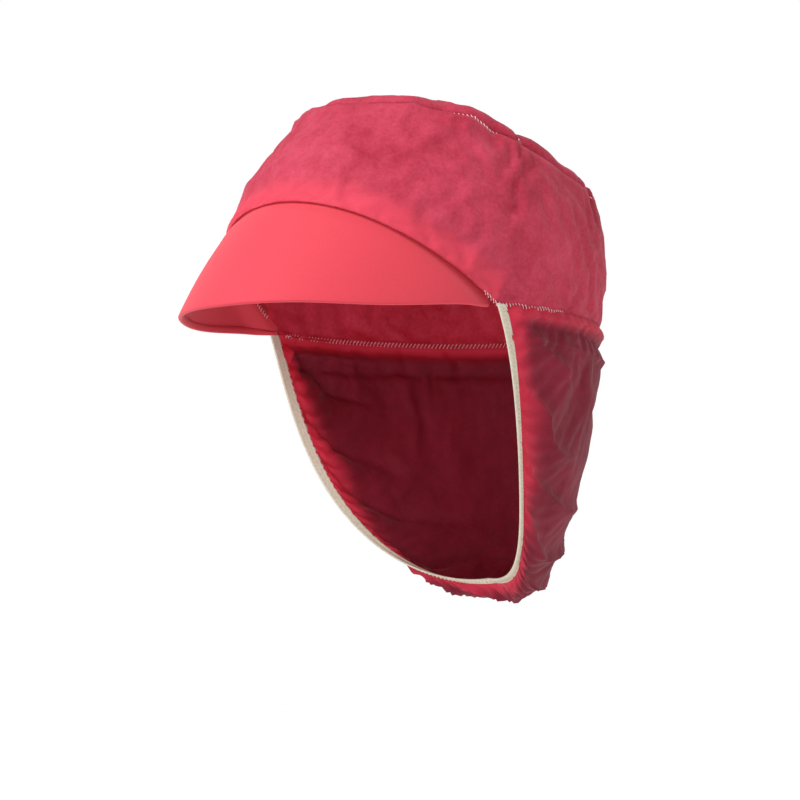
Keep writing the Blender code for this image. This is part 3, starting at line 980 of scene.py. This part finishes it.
def build():
    """Makes each piece and paints it, parents the crown's pieces to the crown's body, and hides the CAD node
    that each piece replaces.
    """
    doubled = (0.88, 0.086, 0.146)
    # Partly painted light: the snood's strips by the elastic and by its seam take this brighter colour, for
    # their doubled gathered cloth and for the key light falling on them.
    gathered = (0.80, 0.050, 0.103)
    crown_cloth = nonwoven(
        "crown_nonwoven",
        pale=(0.76, 0.096, 0.172),
        deep=(0.50, 0.026, 0.060),
        doubled=doubled,
        through=0.30,
        see_through=0.12,
        fine_bump=0.4,
        coarse_bump=0.35,
    )
    # Painted shade: the snood is the same cloth as the crown, painted much darker to stand in for the shade
    # it hangs in and the dark head behind it.
    snood_cloth = nonwoven(
        "snood_nonwoven",
        pale=(0.335, 0.024, 0.055),
        deep=(0.21, 0.012, 0.027),
        doubled=gathered,
        through=0.30,
        see_through=0.08,
        fine_bump=0.4,
        coarse_bump=0.35,
    )
    peak_cloth = nonwoven(
        "peak_nonwoven",
        pale=doubled,
        deep=doubled,
        doubled=(0.73, 0.058, 0.086),
        through=0.10,
        see_through=0.0,
        fine_bump=0.10,
        coarse_bump=0.03,
    )
    thread = plain("overlock_thread", (0.90, 0.62, 0.64), (0.80, 0.45, 0.48), 0.6, 900)
    elastic_cloth = plain("woven_elastic", (0.74, 0.68, 0.55), (0.62, 0.56, 0.44), 0.8, 700)
    board = plain("stiffener_board", (0.75, 0.72, 0.66), (0.68, 0.65, 0.58), 0.6, 200)

    wall, top, wall_grid, signed = make_crown()
    for piece, node, flat, area in (
        (wall, "crown_wall", (0.60, 0.13), 0.052),
        (top, "crown_top", (0.150, 0.186), 0.0213),
    ):
        thicken(piece, CLOTH)
        paint(piece, crown_cloth)
        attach(piece, "crown")
        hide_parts(node)

    band = make_band(wall_grid, signed)
    paint(band, peak_cloth)
    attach(band, "crown")
    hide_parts("forehead_band")

    cover, stiffener, lining = make_peak()
    for piece, node, material, slot in (
        (cover, "peak_cover", peak_cloth, "peak_cloth"),
        (stiffener, "peak_board", board, "peak_board"),
        (lining, "peak_lining", peak_cloth, "peak_cloth"),
    ):
        paint(piece, material)
        follow_peak(piece)
        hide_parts(node)

    pouch = make_snood()
    thicken(pouch, CLOTH)
    paint(pouch, snood_cloth)
    follow_snood(pouch)
    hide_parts("snood")

    strip = make_elastic()
    paint(strip, elastic_cloth)
    follow_snood(strip)
    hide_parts("snood_elastic")

    for piece, node in (
        (top_seam_stitches(wall_grid, signed), "crown_top_stitching"),
        (snood_seam_stitches(), "snood_seam_stitching"),
        (peak_seam_stitches(), "peak_seam_stitching"),
        (back_seam_stitches(wall_grid, signed), "crown_back_stitching"),
    ):
        paint(piece, thread)
        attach(piece, "crown")
        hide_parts(node)
    elastic_thread = elastic_stitches()
    paint(elastic_thread, elastic_cloth)
    follow_snood(elastic_thread)
    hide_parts("elastic_stitching")


# Studio


def make_world():
    """A pale room: white below and at eye level, and a softer grey above."""
    world = bpy.data.worlds.new("studio")
    bpy.context.scene.world = world
    world.use_nodes = True
    tree = world.node_tree
    way = tree.nodes.new("ShaderNodeTexCoord").outputs["Generated"]
    parts = tree.nodes.new("ShaderNodeSeparateXYZ")
    tree.links.new(way, parts.inputs[0])
    ramp = tree.nodes.new("ShaderNodeValToRGB")
    tree.links.new(parts.outputs["Z"], ramp.inputs["Fac"])
    ramp.color_ramp.elements[0].position = 0.30
    ramp.color_ramp.elements[0].color = (1, 1, 1, 1)
    ramp.color_ramp.elements[1].position = 0.55
    ramp.color_ramp.elements[1].color = (0.31, 0.31, 0.32, 1)
    background = tree.nodes["Background"]
    tree.links.new(ramp.outputs["Color"], background.inputs["Color"])
    background.inputs["Strength"].default_value = 1.0


def make_studio():
    """A pale floor, and one broad light from above and in front."""
    size = 8.0
    drop = 0.29  # below the rim
    corners = [(x * size, y * size, -drop) for x, y in ((-1, -1), (1, -1), (1, 1), (-1, 1))]
    floor = mesh_object("floor", np.array(corners), [(0, 1, 2, 3)])
    paint(floor, plain("floor_paint", (0.96, 0.96, 0.96), (0.95, 0.95, 0.95), 0.9, 3))
    make_world()
    light = bpy.data.lights.new("key", "SUN")
    light.energy = 3.25
    light.angle = math.radians(25)
    key = bpy.data.objects.new("key", light)
    bpy.context.scene.collection.objects.link(key)
    key.rotation_euler = Vector((-0.10, -1.0, 1.05)).to_track_quat("Z", "Y").to_euler()
    bpy.context.scene.view_settings.view_transform = "Standard"


def make_camera():
    """Looks from the front left of the wearer, a little from below, with the cap above the middle."""
    azimuth = math.radians(45)
    elevation = math.radians(-6)
    distance = 1.4
    metres_a_pixel = 0.000505
    pixels = 800
    off_middle = 0.0490  # of the near temple, both to the right and up
    right = np.array([math.cos(azimuth), math.sin(azimuth), 0])
    level_back = np.array([math.sin(azimuth), -math.cos(azimuth), 0])
    back = level_back * math.cos(elevation) + np.array([0, 0, math.sin(elevation)])
    up = np.cross(back, right)
    temple = np.array([0.085, -TEMPLE_SETBACK, 0])
    centre = temple - right * off_middle - up * off_middle
    data = bpy.data.cameras.new("camera")
    made = bpy.data.objects.new("camera", data)
    bpy.context.scene.collection.objects.link(made)
    data.sensor_width = 36
    data.lens = data.sensor_width * distance / (metres_a_pixel * pixels)
    made.location = centre + back * distance
    made.rotation_mode = "QUATERNION"
    made.rotation_quaternion = Vector(-back).to_track_quat("-Z", "Y")
    bpy.context.scene.camera = made


build()
make_studio()
make_camera()
